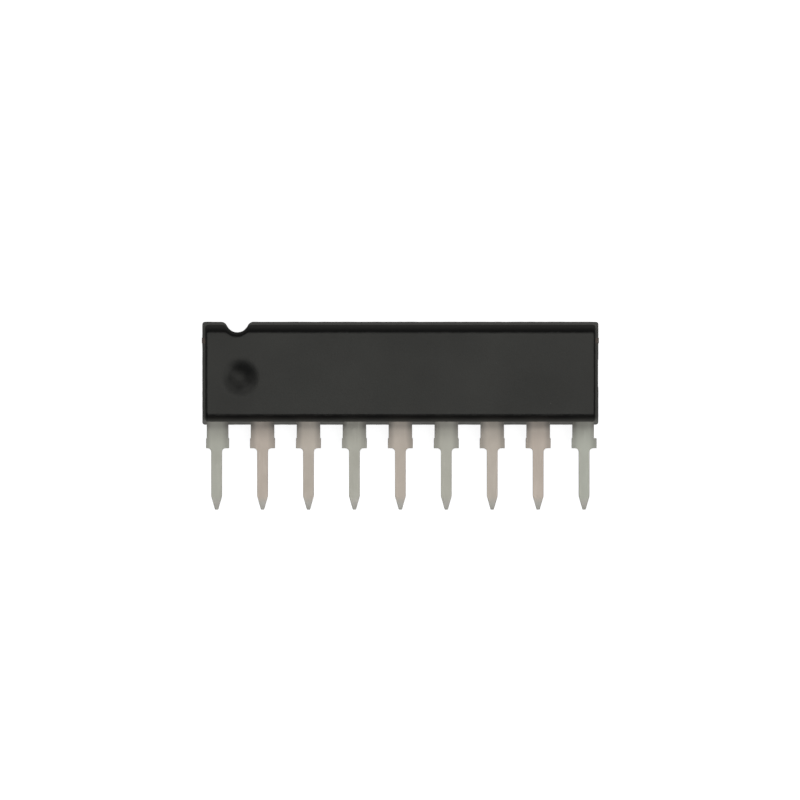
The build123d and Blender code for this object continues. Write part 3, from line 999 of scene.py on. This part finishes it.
def bevel_tip(mesh, tip_y):
    """Slopes the front and the rear of a tip towards each other, as the trimming die leaves them."""
    crease_y = tip_y + BEVEL_LENGTH
    middle_z = SHEET_REAR_Z + SHEET / 2
    with editing(mesh) as work:
        everything = work.verts[:] + work.edges[:] + work.faces[:]
        bmesh.ops.bisect_plane(work, geom=everything, plane_co=(0, crease_y, 0), plane_no=(0, 1, 0))
        for vertex in work.verts:
            share = max((crease_y - vertex.co.y) / BEVEL_LENGTH, 0.0)
            vertex.co.z -= copysign(BEVEL_DEPTH * share, vertex.co.z - middle_z)


def mark_lead_faces(mesh, tip_y, warmth):
    """Marks rolled edges, bare copper where dam bar and tip were sheared, and the plating's tint."""
    marks = {"edge": [], "sheared": [], "warmth": [warmth] * len(mesh.polygons)}
    for face in mesh.polygons:
        tilt = abs(face.normal.z)
        beside_dam = SEATING_Y < face.center.y < SEATING_Y + DAM_STUB_LENGTH
        on_stub = beside_dam and abs(face.normal.x) > 0.9
        on_tip = abs(face.center.y - tip_y) < 0.003
        marks["edge"].append(float(SIDE_TILT < tilt < SHEET_TILT))
        marks["sheared"].append(BARE_COPPER if tilt < SIDE_TILT and (on_stub or on_tip) else 0.0)
    for name, values in marks.items():
        mesh.attributes.new(name, "FLOAT", "FACE").data.foreach_set("value", values)


def plated_lead(number, tree, material):
    node = f"lead_{number}"
    lead = outline_piece(f"plated_{node}", lead_outline(number), closed=True)
    hole = (lead_x(number), BODY_LOW.y + LOCK_HOLE_FROM_BOTTOM, 0.0)
    run_tree(lead, tree, Hole_Centre=hole, Finish=material)
    tip_y = corners(node)[0].y
    bevel_tip(lead.data, tip_y)
    lead.data.shade_smooth()
    rolled = {"width": ROLLED_EDGE, "segments": 3, "use_clamp_overlap": False, "harden_normals": True}
    add_modifier(lead, "BEVEL", limit_method="ANGLE", angle_limit=radians(40), **rolled)
    apply_modifiers(lead)
    mark_lead_faces(lead.data, tip_y, LEAD_WARMTH[number - 1])
    finish_piece(lead, material, "tin_plate", node)


# ---- Bond wires ----
def bonded_wire(tree, given):
    """Wire along a route: bends eased, balled at its start and pressed flat at its end."""
    eased = rounded_curve(tree, given["Route"], WIRE_BEND_STEPS, True)
    even = geo(tree, "ResampleCurve", {"Curve": eased, "Count": 60}, mode="COUNT")
    walked = geo(tree, "SplineParameter").outputs["Length"]
    left = calc(tree, "SUBTRACT", geo(tree, "SplineLength"), walked)
    pressed = calc(tree, "DIVIDE", left, given["Stitch Run"])
    pressed = calc(tree, "SUBTRACT", 1.0, pressed, clamp=True)
    kept = {"Geometry": even, "Name": "pressed", "Value": pressed}
    stored = geo(tree, "StoreNamedAttribute", kept, data_type="FLOAT", domain="POINT")
    press = geo(tree, "InputNamedAttribute", {"Name": "pressed"}, data_type="FLOAT")
    grown = calc(tree, "SUBTRACT", given["Stitch Spread"], 1.0)
    scale = calc(tree, "ADD", calc(tree, "MULTIPLY", press, grown), 1.0)
    profile = circle(tree, WIRE_SIDES, given["Wire Radius"])
    drawn = {"Curve": stored, "Profile Curve": profile, "Scale": scale, "Fill Caps": True}
    wire = geo(tree, "CurveToMesh", drawn)

    x, y, z = axes(tree, geo(tree, "InputPosition"))
    top = calc(tree, "ADD", given["Finger Height"], given["Stitch Height"])
    flat_z = calc(tree, "MINIMUM", z, top)
    flat_z = calc(tree, "MAXIMUM", flat_z, given["Finger Height"])
    flat_place = add_node(tree, "CombineXYZ", {"X": x, "Y": y, "Z": flat_z})
    under_tool = calc(tree, "GREATER_THAN", press, STITCH_SHARE)
    flattened = {"Geometry": wire, "Selection": under_tool, "Position": flat_place}
    stitched = geo(tree, "SetPosition", flattened)

    sphere = {"Segments": 20, "Rings": 12, "Radius": given["Ball Radius"]}
    flatness = calc(tree, "DIVIDE", given["Ball Height"], given["Ball Radius"])
    squashed = add_node(tree, "CombineXYZ", {"X": 1.0, "Y": 1.0, "Z": flatness})
    start = geo(tree, "CurveEndpointSelection", {"Start Size": 1, "End Size": 0})
    balled = {"Points": even, "Selection": start, "Scale": squashed}
    balled["Instance"] = geo(tree, "MeshUVSphere", sphere)
    ball = geo(tree, "RealizeInstances", {"Geometry": geo(tree, "InstanceOnPoints", balled)})
    both = {"Mesh 2": [stitched, ball]}
    return geo(tree, "MeshBoolean", both, operation="UNION", solver="EXACT")


def bond_wire_tree():
    inputs = {
        "Wire Radius": WIRE_RADIUS,
        "Ball Radius": BALL_RADIUS,
        "Ball Height": BALL_HEIGHT,
        "Stitch Run": STITCH_RUN,
        "Stitch Spread": STITCH_SPREAD,
        "Stitch Height": STITCH_HEIGHT,
        "Finger Height": PARTING_Z,
    }
    return geometry_tree("bond_wire", "Route", inputs, bonded_wire)


def bond_site(number):
    """Where a wire is balled on the die: three sites on each side and three along the lower edge."""
    side, steps = side_and_steps(number)
    if steps <= 1:
        return Vector((side * BOND_SPACING, DIE_LOW.y + BOND_INSET, DIE_HIGH.z))
    y = (DIE_LOW.y + DIE_HIGH.y) / 2 + (steps - 3) * BOND_SPACING
    return Vector((side * (DIE_HIGH.x - BOND_INSET), y, DIE_HIGH.z))


def wire_route(number):
    """Points of a wire from its ball, over the loop and down to the finger, with their roundings."""
    start = bond_site(number)
    *_, before, end = finger_route(number)
    back = (before - end).normalized() * STITCH_FROM_TIP
    landing = Vector((end.x + back.x, end.y + back.y, PARTING_Z + WIRE_RADIUS))
    along = Vector((landing.x - start.x, landing.y - start.y, 0.0)).normalized()
    up = Vector((0.0, 0.0, 1.0))
    return [
        (start + up * BALL_HEIGHT / 2, 0.0),
        (start + up * LOOP_HEIGHT, LOOP_RADIUS),
        (landing - along * LANDING_RUN + up * (LANDING_HEIGHT - WIRE_RADIUS), LANDING_RADIUS),
        (landing, 0.0),
    ]


def gold_wire(number, tree, material):
    wire = outline_piece(f"gold_wire_{number}", wire_route(number), closed=False)
    run_tree(wire, tree, Finish=material)
    smooth(wire, 40)
    finish_piece(wire, material, "gold", f"bond_wire_{number}")


# ---- Studio ----
def camera():
    """Nearly straight above the front face, from far enough for a flat view."""
    rise = CAMERA_HEIGHT - PARTING_Z * MM
    lean = radians(CAMERA_LEAN)
    data = bpy.data.cameras.new("camera")
    data.sensor_width = CAMERA_SENSOR
    data.lens = CAMERA_SENSOR * rise / VIEW_WIDTH
    data.clip_start = 0.01
    data.clip_end = 10.0
    eye = new_piece("camera", data)
    eye.location = (CAMERA_X, VIEW_CENTRE_Y + rise * tan(lean), CAMERA_HEIGHT)
    eye.rotation_euler = (-lean, 0.0, 0.0)
    bpy.context.scene.camera = eye


def softbox(name, azimuth, tilt, distance, width, height, brightness):
    """Area light turned to the chip. Tilt is from the vertical, azimuth from +X towards +Y."""
    turn, lean = radians(azimuth), radians(tilt)
    away = Vector((sin(lean) * cos(turn), sin(lean) * sin(turn), cos(lean)))
    data = bpy.data.lights.new(name, "AREA")
    data.shape = "RECTANGLE"
    data.size, data.size_y = width, height
    data.energy = brightness * pi * width * height
    light = new_piece(name, data)
    light.location = away * distance
    light.rotation_euler = away.to_track_quat("Z", "Y").to_euler()


def seen_and_lighting(tree, seen, lighting):
    """One shader for the camera to see, and one that lights and is reflected."""
    is_camera = add_node(tree, "LightPath").outputs["Is Camera Ray"]
    return add_node(tree, "MixShader", {0: is_camera, 1: lighting, 2: seen})


def floor_finish():
    """White sweep, with a faint shadow, that throws little light back up at the chip."""
    material = bpy.data.materials.new("white_sweep")
    material.use_nodes = True
    tree = material.node_tree
    tree.nodes.remove(tree.nodes["Principled BSDF"])
    glow = add_node(tree, "Emission", {"Color": (1.0, 1.0, 1.0), "Strength": 0.85})
    paper = add_node(tree, "BsdfDiffuse", {"Color": (0.8, 0.8, 0.8)})
    seen = add_node(tree, "AddShader", {0: glow, 1: paper})
    dimmed = add_node(tree, "BsdfDiffuse", {"Color": (0.15, 0.15, 0.15)})
    feed_named(tree.nodes["Material Output"], Surface=seen_and_lighting(tree, seen, dimmed))
    return material


def floor():
    half = FLOOR_SIZE / 2
    mesh = bpy.data.meshes.new("floor")
    sheet = [(-half, -half, 0.0), (half, -half, 0.0), (half, half, 0.0), (-half, half, 0.0)]
    mesh.from_pydata(sheet, [], [(0, 1, 2, 3)])
    mesh.materials.append(floor_finish())
    new_piece("floor", mesh)


def backdrop():
    """White all round to the eye, and dim as a light."""
    world = bpy.data.worlds.new("studio")
    world.use_nodes = True
    tree = world.node_tree
    seen = tree.nodes["Background"]
    feed_named(seen, Color=(1.0, 1.0, 1.0))
    dim = add_node(tree, "Background", {"Color": (0.9, 0.95, 1.0), "Strength": 0.08})
    feed_named(tree.nodes["World Output"], Surface=seen_and_lighting(tree, seen, dim))
    bpy.context.scene.world = world


def lights():
    softbox("overhead_softbox", 90, 0, 0.7, 0.42, 0.42, 1.35)
    softbox("upper_left_softbox", 125, 42, 0.7, 0.45, 0.35, 1.0)
    softbox("upper_right_softbox", 45, 44, 0.7, 0.6, 0.4, 0.65)
    softbox("lower_right_softbox", 330, 37, 0.7, 0.4, 0.35, 1.25)
    softbox("left_softbox", 180, 60, 0.8, 0.25, 0.4, 0.55)
    softbox("front_strip", 270, 80, 0.9, 0.7, 0.15, 0.3)
    softbox("back_strip", 90, 80, 0.9, 0.7, 0.15, 0.3)
    softbox("right_strip", 0, 78, 0.9, 0.2, 0.3, 0.3)


def studio():
    camera()
    floor()
    backdrop()
    lights()
    bpy.context.scene.view_settings.view_transform = "Standard"


# ---- Assembly ----
def dress_cad_node(node, material):
    """Gives a CAD node its finish."""
    for slot in frame["nodes"][node].material_slots:
        slot.material = material


def dress():
    moulded_case(moulding_compound())
    tin, sheet_tree = tin_plate(), stamped_sheet_tree()
    wire_gold, wire_tree = gold(), bond_wire_tree()
    for number in range(1, LEAD_COUNT + 1):
        plated_lead(number, sheet_tree, tin)
        gold_wire(number, wire_tree, wire_gold)
    dress_cad_node("die_pad", frame_copper())
    dress_cad_node("die_attach", silver_adhesive())
    dress_cad_node("silicon_die", silicon())


studio()
dress()
